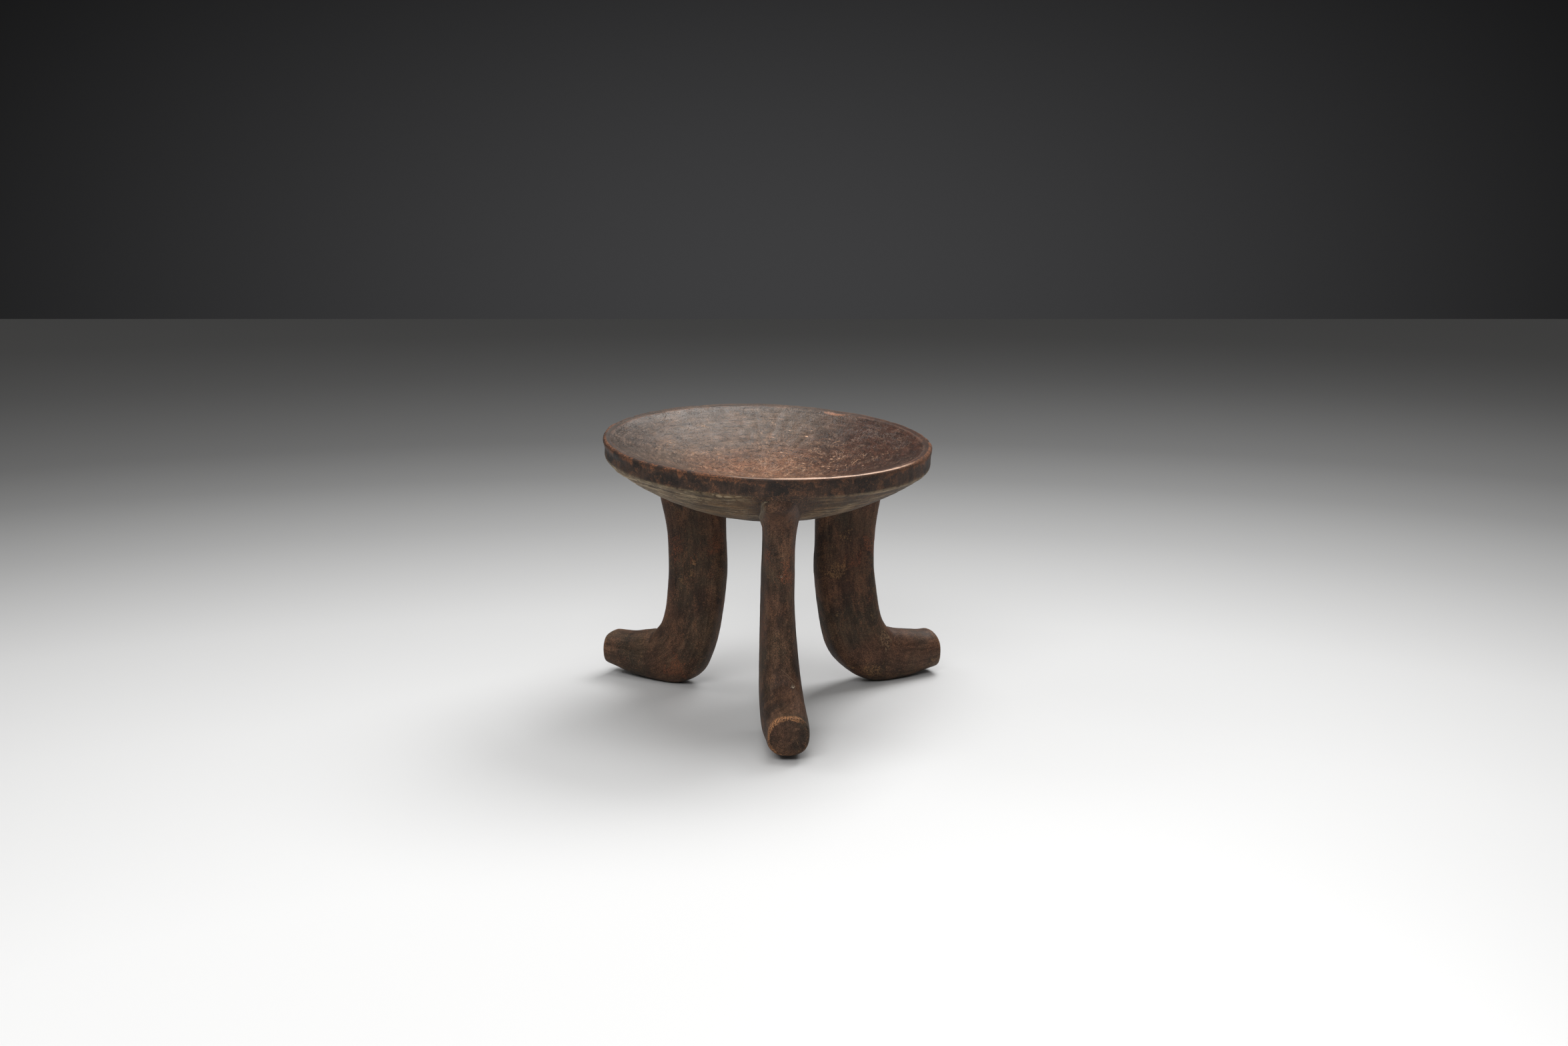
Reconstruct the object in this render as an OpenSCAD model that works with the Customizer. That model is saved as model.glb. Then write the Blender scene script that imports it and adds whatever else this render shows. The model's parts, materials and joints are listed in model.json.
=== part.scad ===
// Carved tripod stool: a round dished seat on three heavy legs, each swept out into a blunt foot.
// Sizes are in millimetres and angles in degrees. Z is up and the floor is at Z = 0.
// The front leg points towards -Y, the other two stand behind it to the left and the right.
// The origin is on the floor, under the middle of the space that the stool takes.
// Seat and legs are carved from one block, so every leg ends exactly on the underside of the seat.

/* [Seat] */
// Radius of the seat over its side band
rim_r = 186; // [176:1:200]
// Height of the rim above the floor, on the seat's middle line
seat_height = 309; // [304:1:322]
// Depth of the whole seat, from the rim down to the lowest point of the underside
seat_depth = 88; // [80:1:96]
// Height of the upright band below the rim
band_height = 22; // [16:1:30]
// Width of the rim on top, from the band to the hollow
lip_width = 9; // [8:0.5:14]
// Depth of the hollow in the middle
hollow_depth = 40; // [28:1:52]
// Rounding of the rim's outer edge
lip_outer_round = 4; // [2:0.5:5]
// Rounding of the rim's inner edge
lip_inner_round = 2; // [1:0.5:3]
// Rounding of the band's lower edge
band_round = 5.5; // [2:0.5:7]
// Angle that the seat leans up towards the back, in degrees
lean_back = 3.3; // [0:0.1:4]
// Angle that the seat leans up towards the left, in degrees
lean_left = 2; // [0:0.1:4]
// How far the seat's middle lies to the left of the point that the legs turn about
seat_left = 2; // [0:0.5:4]

/* [Leg, distance of its middle line from the centre] */
// At the head, inside the seat
head_out = 127; // [122:1:132]
// At the root, where the leg enters the underside
root_out = 117; // [112:1:122]
// At the neck, just below the seat
neck_out = 108; // [104:1:114]
// At the shin, a hand's width below the seat
shin_out = 104; // [99:1:109]
// At the calf, half way down
calf_out = 105; // [101:1:111]
// At the ankle, where the leg begins to turn outwards
ankle_out = 121; // [115:1:125]
// At the ball of the foot
ball_out = 163; // [158:1:170]
// At the toe, where the rounding of its end begins
toe_out = 214; // [210:1:225]

/* [Leg, height of its middle line above the floor] */
// At the head, inside the seat
head_up = 307; // [300:1:314]
// At the root
root_up = 258; // [252:1:262]
// At the neck
neck_up = 227; // [222:1:232]
// At the shin
shin_up = 183; // [178:1:190]
// At the calf
calf_up = 129; // [122:1:136]
// At the ankle
ankle_up = 58; // [54:1:64]
// At the ball of the foot
ball_up = 29; // [27:1:32]
// At the toe
toe_up = 29; // [27:1:34]

/* [Leg, thickness from its inner to its outer face] */
// At the head, inside the seat
head_deep = 106; // [98:1:114]
// At the root
root_deep = 80; // [74:1:90]
// At the neck
neck_deep = 81; // [74:1:90]
// At the shin
shin_deep = 75; // [68:1:84]
// At the calf
calf_deep = 76; // [68:1:84]
// At the ankle
ankle_deep = 75; // [66:1:82]
// At the ball of the foot
ball_deep = 84; // [74:1:88]
// At the toe
toe_deep = 48; // [40:1:52]

/* [Leg, width from side to side] */
// At the root
root_wide = 50; // [42:1:56]
// At the neck
neck_wide = 37; // [34:1:46]
// At the shin
shin_wide = 35; // [30:1:42]
// At the calf
calf_wide = 37; // [32:1:44]
// At the ankle
ankle_wide = 45; // [40:1:52]
// At the ball of the foot
ball_wide = 49; // [42:1:56]
// At the toe
toe_wide = 46; // [38:1:50]

/* [Leg, slope of its cross-section, in degrees] */
// Slope angle at the root and the neck
neck_angle = -2; // [-6:0.5:2]
// Slope angle at the shin and the calf
shin_angle = -6.5; // [-10:0.5:-3]
// Slope angle at the ankle
ankle_angle = 20; // [15:0.5:25]
// Slope angle at the ball of the foot
ball_angle = 40; // [36:0.5:48]
// Slope angle at the toe
toe_angle = 81; // [74:0.5:86]

/* [Leg, form of its cross-section] */
// Squareness ratio of the upper leg, where 2 is an ellipse
leg_square_ratio = 3; // [2.4:0.1:3.6]
// Squareness ratio of the toe
toe_square_ratio = 2.4; // [2:0.1:3]
// Length of the rounded end of the toe
toe_end = 10; // [8:0.5:14]
// Size ratio of the blunt end face to the toe
toe_face_ratio = 0.81; // [0.66:0.01:0.86]
// Depth worn flat off the sole, where it stands on the floor
sole_wear = 1.2; // [0.8:0.1:2]

/* [Front leg] */
// Angle of the direction that it points in, in degrees
front_angle = 275; // [270:0.5:280]
// How far it stands out beyond the usual distance
front_shift = 3; // [-4:1:8]
// Ratio of its foot to the usual length
front_reach_ratio = 0.96; // [0.9:0.01:1.05]
// How far its toe drifts sideways
front_drift = 3; // [-2:1:8]
// How far its root spreads forwards to join the band
front_flare = 22; // [0:1:26]

/* [Left leg] */
// Angle of the direction that it points in, in degrees
left_angle = 150.5; // [146:0.5:156]
// How far it stands out beyond the usual distance
left_shift = -5; // [-10:1:2]
// Ratio of its foot to the usual length
left_reach_ratio = 1.05; // [0.98:0.01:1.1]
// How far its toe drifts sideways
left_drift = -4; // [-8:1:2]
// How much further in its heel comes down
left_heel = 8; // [0:1:12]

/* [Right leg] */
// Angle of the direction that it points in, in degrees
right_angle = 29; // [24:0.5:34]
// How far it stands out beyond the usual distance
right_shift = -3; // [-6:1:4]
// Ratio of its foot to the usual length
right_reach_ratio = 1.08; // [1:0.01:1.12]
// How far its toe drifts sideways
right_drift = 5; // [-2:1:8]
// How much further out its ball comes down
right_ball = 6; // [0:1:10]

/* [Hidden] */
$fn = 96;

// The underside is a sphere through the band's lower edge and the seat's lowest point
dome_rise = seat_depth - band_height;
dome_r = (rim_r * rim_r + dome_rise * dome_rise) / (2 * dome_rise);
dome_z = dome_r - seat_depth;
// The hollow is a sphere through the rim's inner edge and the hollow's lowest point
hollow_edge_r = rim_r - lip_width;
hollow_r = (hollow_edge_r * hollow_edge_r + hollow_depth * hollow_depth) / (2 * hollow_depth);
hollow_z = hollow_r - hollow_depth;
// Height of the centre of the band's lower rounding, which touches the band and the underside
band_round_z = dome_z - sqrt(pow(dome_r - band_round, 2) - pow(rim_r - band_round, 2));
// Distance out of the centre of the rim's inner rounding, which touches the rim and the hollow
lip_inner_x = sqrt(pow(hollow_r + lip_inner_round, 2) - pow(hollow_z + lip_inner_round, 2));

// A leg's cross-sections from top to toe: distance out, height, half its thickness along both
// of these, half its width, and squareness. The topmost is inside the seat and is cut away.
function section(out, up, deep, slope, wide, square) =
    [out, up, deep / 2 * cos(slope), deep / 2 * sin(slope), wide / 2, square];
LEG = [
    section(head_out, head_up, head_deep, 0, root_wide, leg_square_ratio),
    section(root_out, root_up, root_deep, neck_angle, root_wide, leg_square_ratio),
    section(neck_out, neck_up, neck_deep, neck_angle, neck_wide, leg_square_ratio),
    section(shin_out, shin_up, shin_deep, shin_angle, shin_wide, leg_square_ratio),
    section(calf_out, calf_up, calf_deep, shin_angle, calf_wide, leg_square_ratio),
    section(ankle_out, ankle_up, ankle_deep, ankle_angle, ankle_wide, leg_square_ratio),
    section(ball_out, ball_up, ball_deep, ball_angle, ball_wide, toe_square_ratio),
    section(toe_out, toe_up, toe_deep, toe_angle, toe_wide, toe_square_ratio)
];
CALF = 4;
BALL = 6;
STEPS = 6;
SIDES = 32;

// One leg's own sections: spread at the head, its foot longer or shorter, its ball further out or in
function own_sections(reach, flare, ball) = [
    for (i = [0 : len(LEG) - 1]) let (s = LEG[i], c = LEG[CALF], f = i == 0 ? flare / 2 : 0)
        i > CALF
            ? [c[0] + (s[0] - c[0]) * reach + (i == BALL ? ball : 0), s[1], c[2] + (s[2] - c[2]) * reach,
               s[3], s[4], s[5]]
            : [s[0] + f, s[1], s[2] + f, s[3], s[4], s[5]]
];

// A smooth line through four sections, at t between the second and the third
function between(a, b, c, d, t) =
    (2 * b + (c - a) * t + (2 * a - 5 * b + 4 * c - d) * t * t + (3 * b - a - 3 * c + d) * t * t * t) / 2;
function smooth_sections(s) = let (n = len(s) - 1, p = concat([2 * s[0] - s[1]], s, [2 * s[n] - s[n - 1]]))
    concat([for (i = [0 : n - 1]) for (j = [0 : STEPS - 1]) between(p[i], p[i + 1], p[i + 2], p[i + 3], j / STEPS)],
           [s[n]]);

// The rounded end: sections pushed on past the toe and drawn in along a quarter of a round
function end_sections(s) = let (
        n = len(s) - 1, last = s[n],
        step = [last[0] - s[n - 2][0], last[1] - s[n - 2][1]],
        way = step / norm(step))
    [for (q = [30, 60, 90]) let (k = 1 - (1 - toe_face_ratio) * (1 - cos(q)))
        [last[0] + way[0] * toe_end * sin(q), last[1] + way[1] * toe_end * sin(q),
         last[2] * k, last[3] * k, last[4] * k, last[5]]];

// A point of a section: u across its thickness, v across its width
function side_of(a, square) = sign(a) * pow(abs(a), 2 / square);
function leg_points(turn, shift, reach, drift, flare, ball) = let (
        body = smooth_sections(own_sections(reach, flare, ball)),
        all = concat(body, end_sections(body)),
        n = len(body) - 1)
    [for (i = [0 : len(all) - 1]) let (s = all[i], k = pow(min(i / n, 1), 2))
        [for (j = [0 : SIDES - 1]) let (
                u = side_of(cos(360 * j / SIDES), s[5]),
                v = side_of(sin(360 * j / SIDES), s[5]),
                out = s[0] + s[2] * u + shift,
                aside = s[4] * v + drift * k)
            [out * cos(turn) - aside * sin(turn), out * sin(turn) + aside * cos(turn), s[1] + s[3] * u]]];

FRONT = leg_points(front_angle, front_shift, front_reach_ratio, front_drift, front_flare, 0);
LEFT = leg_points(left_angle, left_shift, left_reach_ratio, left_drift, 0, -left_heel);
RIGHT = leg_points(right_angle, right_shift, right_reach_ratio, right_drift, 0, right_ball);
function lowest(rings) = min([for (ring = rings) for (p = ring) p[2]]);

// The seat's upward direction, and how far its band reaches along a level line
seat_up = [sin(lean_left) * cos(lean_back), -sin(lean_back), cos(lean_left) * cos(lean_back)];
function seat_reach(i) = max(
    rim_r * sqrt(1 - pow(seat_up[i], 2)) - lip_outer_round * seat_up[i],
    rim_r * sqrt(1 - pow(seat_up[i], 2)) + band_round_z * seat_up[i]);

// The middle of the whole stool's box, seen from above
ALL = [for (rings = [FRONT, LEFT, RIGHT]) for (ring = rings) for (p = ring) p];
centre_x = (max([for (p = ALL) p[0]]) + min([for (p = ALL) p[0]])) / 2;
centre_y = (seat_reach(1) + min([for (p = ALL) p[1]])) / 2;

module on_the_seat() {
    translate([-centre_x - seat_left, -centre_y, seat_height]) rotate([lean_back, lean_left, 0]) children();
}

// Takes the corner off a flat shape between two directions, and puts a round of radius r there
module softened(centre, r, from, to) {
    difference() {
        children();
        translate(centre) polygon([
            [0, 0],
            4 * r * [cos(from), sin(from)],
            5 * r * [cos((from + to) / 2), sin((from + to) / 2)],
            4 * r * [cos(to), sin(to)]]);
    }
    translate(centre) circle(r);
}

// Half of the seat's cross-section, with the rim's top at height 0
module seat_outline() {
    softened([lip_inner_x, -lip_inner_round], lip_inner_round,
             90, 90 + atan2(lip_inner_x, hollow_z + lip_inner_round))
        softened([rim_r - band_round, band_round_z], band_round,
                 atan2(band_round_z - dome_z, rim_r - band_round), 0)
            softened([rim_r - lip_outer_round, -lip_outer_round], lip_outer_round, 0, 90)
                difference() {
                    intersection() {
                        translate([0, dome_z]) circle(dome_r);
                        translate([0, -seat_depth]) square([rim_r, seat_depth]);
                    }
                    translate([0, hollow_z]) circle(hollow_r);
                }
}

module seat() {
    color([0.33, 0.19, 0.13]) on_the_seat() rotate_extrude() seat_outline();
}

// A skin over the rings of one leg, cut by the underside of the seat and by the floor
module leg(rings) {
    n = len(rings);
    difference() {
        translate([-centre_x, -centre_y, -lowest(rings) - sole_wear])
            polyhedron(
                points = [for (ring = rings) for (p = ring) p],
                faces = concat(
                    [[for (j = [SIDES - 1 : -1 : 0]) j]],
                    [for (i = [0 : n - 2]) for (j = [0 : SIDES - 1]) let (k = (j + 1) % SIDES)
                        each [[i * SIDES + j, (i + 1) * SIDES + k, (i + 1) * SIDES + j],
                              [i * SIDES + j, i * SIDES + k, (i + 1) * SIDES + k]]],
                    [[for (j = [0 : SIDES - 1]) (n - 1) * SIDES + j]]));
        on_the_seat() translate([0, 0, dome_z]) sphere(dome_r);
        translate([-2 * rim_r, -2 * rim_r, -seat_depth]) cube([4 * rim_r, 4 * rim_r, seat_depth]);
    }
}

module front_leg() {
    color([0.28, 0.18, 0.13]) leg(FRONT);
}

module left_leg() {
    color([0.26, 0.17, 0.13]) leg(LEFT);
}

module right_leg() {
    color([0.24, 0.16, 0.12]) leg(RIGHT);
}

seat();
front_leg();
left_leg();
right_leg();
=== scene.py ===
"""Carved tripod stool: one block of dark wood with a dished seat and three legs swept out into blunt feet.
Lengths are in metres. The seat is turned as on a lathe, cut over with a gouge and a knife, joined to the legs
by a boolean, eased where they meet, and taken apart again along those lines."""
import itertools
import json
import math

import bpy
import numpy as np
from mathutils import Matrix, Vector
from mathutils.kdtree import KDTree

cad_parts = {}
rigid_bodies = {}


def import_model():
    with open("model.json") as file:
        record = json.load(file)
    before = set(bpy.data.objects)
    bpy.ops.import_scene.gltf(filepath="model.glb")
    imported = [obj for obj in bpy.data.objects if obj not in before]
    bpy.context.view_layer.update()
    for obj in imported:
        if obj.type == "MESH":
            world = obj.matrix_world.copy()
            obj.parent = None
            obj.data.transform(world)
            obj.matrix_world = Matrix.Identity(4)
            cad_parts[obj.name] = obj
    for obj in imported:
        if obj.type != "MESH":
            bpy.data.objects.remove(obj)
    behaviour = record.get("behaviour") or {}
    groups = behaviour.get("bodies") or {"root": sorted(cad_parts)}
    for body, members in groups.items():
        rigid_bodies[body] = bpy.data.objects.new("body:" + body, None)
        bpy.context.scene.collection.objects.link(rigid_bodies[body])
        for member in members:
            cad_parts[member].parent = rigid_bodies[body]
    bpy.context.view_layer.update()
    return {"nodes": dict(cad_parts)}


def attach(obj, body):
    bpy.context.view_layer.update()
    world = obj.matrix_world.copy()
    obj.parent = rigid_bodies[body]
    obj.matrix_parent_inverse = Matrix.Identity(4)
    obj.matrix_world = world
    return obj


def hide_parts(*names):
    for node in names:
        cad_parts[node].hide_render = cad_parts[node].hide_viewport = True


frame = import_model()

# ---- sizes, as in the CAD model
MM = 0.001
RIM_MIDDLE = Vector((-4.39, 19.6485, 309)) * MM
LEAN_BACK, LEAN_LEFT = math.radians(3.3), math.radians(2.0)
SEAT_PLACE = (Matrix.Translation(RIM_MIDDLE) @ Matrix.Rotation(LEAN_LEFT, 4, "Y")
              @ Matrix.Rotation(LEAN_BACK, 4, "X"))
RIM_R = 186 * MM
SEAT_DEPTH = 88 * MM
BAND_HEIGHT = 22 * MM
LIP_WIDTH = 9 * MM
HOLLOW_DEPTH = 40 * MM
LIP_OUTER_ROUND = 4 * MM
LIP_INNER_ROUND = 2 * MM
BAND_ROUND = 5.5 * MM
LEG_MIDDLE = Vector((-2.39, 19.6485, 0)) * MM
# The way that each leg points, in degrees from the right hand side
LEG_TURN = {"front_leg": 275, "left_leg": 150.5, "right_leg": 29}
# The middle line of a leg in millimetres: distance out and height, from the root to the toe
LEG_LINE = [(127, 307), (117, 258), (108, 227), (104, 183), (105, 129),
            (121, 58), (163, 29), (214, 29), (226, 31)]

DOME_RISE = SEAT_DEPTH - BAND_HEIGHT
DOME_R = (RIM_R ** 2 + DOME_RISE ** 2) / (2 * DOME_RISE)
DOME_Z = DOME_R - SEAT_DEPTH
HOLLOW_EDGE = RIM_R - LIP_WIDTH
HOLLOW_R = (HOLLOW_EDGE ** 2 + HOLLOW_DEPTH ** 2) / (2 * HOLLOW_DEPTH)
HOLLOW_Z = HOLLOW_R - HOLLOW_DEPTH

# ---- what hands and years did. The lists are in millimetres.
# How far a leg runs on into the seat before they are joined, and the net of points that it gets
RUN_ON, NET = 23 * MM, 1.7 * MM
# How far along a leg's middle line its ankle lies, and its way round as a blade sees it
ANKLE, LEG_GIRTH = 272 * MM, 0.19
# The legs' roots lie above this height. What lies lower counts as far off.
ROOTS_ABOVE, FAR_OFF = 0.19, 1.0
# The sharpest curve that counts as wear, and the curve of a plainly worn edge, in turns per metre
SHARPEST, SHARP = 400, 60
# The steps along each stretch of the seat's section, and those of its spin
HOLLOW_STEPS, LIP_STEPS, TOP_STEPS, ROUND_STEPS, BAND_STEPS, DOME_STEPS = 80, 5, 4, 7, 8, 84
SPIN_STEPS = 400
# The value of cuts() that leaves the surface where it was, for scoops and for other cuts
SCOOP_LEVEL, CUT_LEVEL = 0.25, 0.3
# Small chips on the rim: an angle in degrees from the right hand side, a size and a depth
CHIPS = [(37, 4, 0.7), (118, 5, 0.6), (151, 3.5, 0.8), (226, 4, 0.7),
         (248, 3, 0.5), (291, 4, 0.6), (322, 3, 0.7), (341, 4.5, 0.6)]
# Where a leg departs from its plain form: a place out, to the side and up, a size, and how the wood moves
LEG_SHAPE = {
    "front_leg": [((180, 0, 268), (60, 36, 17), (9, 0, 0)), ((168, -21, 266), (40, 13, 26), (13, -5, 0)),
                  ((150, 34, 252), (14, 24, 15), (0, -4, 0)), ((108, -28, 220), (16, 30, 28), (0, 4.2, 0)),
                  ((105, 0, 125), (60, 60, 60), (0, -0.9, 0)), ((190, 26, 50), (30, 14, 20), (0, 0.8, 0)),
                  ((215, -22, 15), (20, 16, 16), (0, -0.8, -0.3)), ((222, 26, 30), (14, 12, 20), (0, -0.9, 0)),
                  ((222, 0, 22), (30, 40, 30), (0, -0.5, 0))],
    "left_leg": [((125, 0, 95), (42, 42, 42), (-2.2, 0, 0)), ((140, 0, 82), (26, 26, 24), (-1.6, 0, 0)),
                 ((108, -10, 22), (22, 26, 16), (-2.4, 0, 0)), ((108, -10, 50), (22, 26, 20), (-0.7, 0, 0)),
                 ((95, -10, 192), (25, 30, 22), (-1.2, 0, 0)), ((150, 0, 222), (22, 30, 18), (1.4, 0, 0)),
                 ((190, 0, 8), (20, 20, 8), (0, 0, -1)), ((220, 0, 8), (18, 18, 12), (0, 0, 5.2)),
                 ((185, 0, 54), (32, 22, 14), (0, 0, 0.8)), ((138, 0, 66), (11, 26, 12), (-2.8, 0, 0))],
    "right_leg": [((140, 0, 100), (30, 30, 30), (1, 0, 0)), ((112, 0, 30), (24, 26, 20), (1.4, 0, 0.6)),
                  ((100, 0, 195), (30, 30, 25), (-0.8, 0, 0)), ((140, 0, 180), (20, 30, 80), (0.8, 0, 0)),
                  ((190, 0, 8), (20, 20, 10), (0, 0, -2)), ((224, 0, 6), (14, 14, 10), (0, 0, 0.9)),
                  ((190, 0, 56), (30, 22, 14), (0, 0, -0.5))]}
# The flat cuts that end each toe: a place and the way that the cut faces, both out, to the side and up
TOE_CUTS = {"front_leg": [((222.7, 0, 28), (1, 0, -0.21))],
            "left_leg": [((223.4, 0, 28), (1, 0, -0.02)), ((228.3, 0, 43.4), (0.75, 0, 0.66))],
            "right_leg": [((227.2, 0, 26), (1, 0, 0)), ((229.6, 0, 28), (1, 0, 0.22))]}
# How deep a leg's ankle is creased, how much fuller it is than its plain form, and the seed of its tool marks
LEG_CARVING = {"front_leg": (1, 0.3, 30), "left_leg": (3.4, 0.1, 40), "right_leg": (2, 0.5, 50)}

# ---- marks that only the finishes show
# The grain is drawn out along a leg and down the band: its run is this share of the real length
LEG_STRETCH, BAND_STRETCH = 0.14, 0.16
# Where each leg's noise starts, how rusty the leg is, and how bare the rim of its toe is
LEG_LOOK = {"front_leg": (0.3, 0.5, 0.9), "left_leg": (1.7, 0.7, 0.15), "right_leg": (4.1, 0.75, 0.2)}
# Worn or stained patches: a place, a size and a colour. The seat's places are in its own frame.
RED, TAN, PALE = (120, 73, 51), (138, 103, 70), (128, 102, 78)
SEAT_SPOTS = [((-76, 118, -15), 5, (140, 108, 80)), ((68, 100, -18), 7, (96, 66, 48)),
              ((92, 60, -24), 9, (92, 58, 42))]
LEG_SPOTS = {
    "front_leg": [((23, -123, 208), 9, RED), ((23, -118, 180), 10, RED), ((-6, -118, 205), 7, RED),
                  ((11.1, -125, 182.8), 0.6, (214, 200, 180)), ((24.2, -140.7, 64.3), 1.6, (196, 180, 158))],
    "left_leg": [((-113, 63, 172), 15, RED), ((-65, 42, 177), 10, RED), ((-94, 52, 140), 7, TAN),
                 ((-105, 58, 131), 5, TAN), ((-71, 42, 143), 5, RED), ((-110, 60, 25), 12, RED),
                 ((-197, 130, 30), 24, (60, 50, 40))],
    "right_leg": [((102, 58, 163), 14, RED), ((117, 71, 172), 12, RED), ((83, 48, 184), 8, TAN),
                  ((73, 43, 146), 9, TAN), ((139, 78, 55), 10, PALE), ((116, 66, 19), 13, TAN),
                  ((115, 65, 108), 5, RED)]}
# Single scratches, from one place to another and how wide: dark or pale in the hollow, and on the front leg
DARK_MARKS = [((-84, 125, 0), (-71, 113, 0), 0.7), ((-72, 126, 0), (-81, 113, 0), 0.7),
              ((-60, 107, 0), (-41, 93, 0), 0.7), ((-34, 101, 0), (-21, 84, 0), 0.7),
              ((52, 92, 0), (60, 78, 0), 0.7)]
PALE_MARKS = [((76, 85, 0), (87, 90, 0), 0.5), ((19, 51, 0), (31, 44, 0), 0.5), ((58, 64, 0), (66, 56, 0), 0.5),
              ((28, 22, 0), (45, 18, 0), 0.5), ((-14, 30, 0), (3, 37, 0), 0.5), ((70, 22, 0), (79, 30, 0), 0.5),
              ((98, 6, 0), (106, 20, 0), 0.5)]
LEG_MARKS = [((10, 0, 83), (28, 0, 67), 0.25), ((15, 0, 77), (27, 0, 64), 0.25), ((22, 0, 68), (25, 0, 63), 0.5)]
# Fields of fine scratches in the hollow: the way they run in degrees, their scale, and where their noise starts
WORN_LINES = [(25, 300, 0), (-38, 280, 5), (4, 320, 7)]
DARK_LINES = [(60, 260, 9), (12, 260, 11), (-20, 260, 13)]

# ---- floor, light and camera
FLOOR_SIZE = 8.5
# A pool of light is painted on the floor, darker away from the bright spot in front of the stool: how far, as a
# share, and how light
PAINTED_LIGHT_SPOT, FADE = (-0.1, -1.2, 0), 5.0
FLOOR_GREYS = [(0.14, 0.6), (0.24, 0.54), (0.32, 0.465), (0.36, 0.4), (0.43, 0.29), (0.52, 0.18),
               (0.6, 0.125), (0.8, 0.085), (1, 0.06)]
# Each lamp: a name, a place, its width and depth, and its power in watts. All face the stool.
LAMPS = [("soft_box_back_right", (0.99, 1.26, 2.3), 1.4, 1.4, 66),
         ("soft_box_left", (-1.9, 0.6, 1.9), 0.8, 0.8, 9),
         ("soft_box_above", (0.1, 0.05, 2.7), 1.3, 1.3, 38),
         ("soft_box_front", (-0.6, -2.2, 2.2), 1.8, 1.2, 50)]
LAMPS_AIM = Vector((0, 0, 0.25))
CAMERA_PLACE, CAMERA_DOWN = (0.01418, -2.00507, 0.65593), 12.421
CAMERA_SENSOR, CAMERA_LENS = 36, 41.54


# ---- working on a piece
def take_up(piece):
    """Selects this piece alone, and makes it active."""
    for other in bpy.context.view_layer.objects:
        other.select_set(False)
    piece.select_set(True)
    bpy.context.view_layer.objects.active = piece


def work_in(mode):
    bpy.ops.object.mode_set(mode=mode)


def finish_with(piece, kind, **settings):
    """Adds a modifier and applies it."""
    take_up(piece)
    modifier = piece.modifiers.new(kind.title(), kind)
    for name, value in settings.items():
        setattr(modifier, name, value)
    bpy.ops.object.modifier_apply(modifier=modifier.name)


def read(rows, field, width=1, kind=float):
    """One field of a mesh's points, edges, corners or faces, with width numbers for each."""
    flat = np.empty(len(rows) * width, dtype=kind)
    rows.foreach_get(field, flat)
    return flat.reshape(-1, width) if width > 1 else flat


def points_of(piece):
    return read(piece.data.vertices, "co", 3)


def normals_of(piece):
    return read(piece.data.vertices, "normal", 3)


def edges_of(piece):
    """The two points of each edge, by number."""
    return read(piece.data.edges, "vertices", 2, int)


def move_to(piece, points):
    piece.data.vertices.foreach_set("co", points.ravel())
    piece.data.update()


def write_down(piece, name, values):
    """Keeps a number, or three, for each point of a piece."""
    if values.ndim == 1:
        piece.data.attributes.new(name, "FLOAT", "POINT").data.foreach_set("value", values)
    else:
        piece.data.attributes.new(name, "FLOAT_VECTOR", "POINT").data.foreach_set("vector", values.ravel())


def neighbours(edges, count):
    """How many edges each point has, and at least 1."""
    return np.maximum(np.bincount(edges.ravel(), minlength=count), 1)


def gather(edges, count, at_first, at_second):
    """Adds up at each point what every edge brings to its first end and to its second end."""
    return np.bincount(edges[:, 0], at_first, count) + np.bincount(edges[:, 1], at_second, count)


def ease(values, edges, share, times):
    """Draws each point, or each number kept for it, towards the mean of its neighbours by a share, times over."""
    table = values.reshape(len(values), -1)
    share = np.broadcast_to(share, len(table))[:, None]
    count = neighbours(edges, len(table))[:, None]
    for _ in range(times):
        total = np.column_stack([gather(edges, len(table), column[edges[:, 1]], column[edges[:, 0]])
                                 for column in table.T])
        table = table + share * (total / count - table)
    return table.reshape(values.shape)


def rise(value, low, high):
    """0 at low, 1 at high, and a smooth rise between them. It is a fall where low is above high."""
    t = np.clip((value - low) / (high - low), 0, 1)
    return t * t * (3 - 2 * t)


def waves(points, size, seed):
    """Smooth irregular waves in space, from -1 to 1. size is their length, or one for each direction."""
    cells = 64
    place = points / np.asarray(size)
    cell = np.floor(place).astype(int)
    t = place - cell
    t = t * t * (3 - 2 * t)
    dice = np.random.default_rng(seed).uniform(-1, 1, (cells, cells, cells))
    total = np.zeros(len(points))
    for corner in itertools.product((0, 1), repeat=3):
        share = np.prod(np.where(np.array(corner) == 1, t, 1 - t), axis=1)
        total += share * dice[tuple(((cell + corner) % cells).T)]
    return total


def cuts(along, around, girth, length, width, seed):
    """The marks of a blade, in rows: each cut is length long and width wide. around is an angle, and girth gives
    the way round at a place along. The value is 0 in the middle of a cut and about 0.5 on the ridges between.
    A cut's middle lies anywhere in its cell but for a margin, and each row starts elsewhere."""
    cells, margin, play, row_shift, fewest = 256, 0.2, 0.6, 7, 3
    dice = np.random.default_rng(seed).uniform(0, 1, (3, cells, cells))
    first = np.floor(along / length).astype(int)
    nearest = np.full(len(along), np.inf)
    for row_step in (-1, 0, 1):
        row = first + row_step
        count = np.maximum(fewest, np.round(girth((row + 0.5) * length) / width)).astype(int)
        place = around / (2 * np.pi) * count + row_shift * dice[0, row % cells, 0]
        for column_step in (-1, 0, 1):
            column = np.floor(place).astype(int) + column_step
            key = (row % cells, column % count % cells)
            across = place - column - margin - play * dice[1][key]
            ahead = along / length - row - margin - play * dice[2][key]
            nearest = np.minimum(nearest, across ** 2 + ahead ** 2)
    return nearest


def dent(points, place, size, push):
    """Moves the points near a place by push, and those farther off less and less, over size."""
    far = np.linalg.norm((points - place) / np.asarray(size), axis=1)
    return points + np.outer(np.exp(-far ** 2), push)


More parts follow.
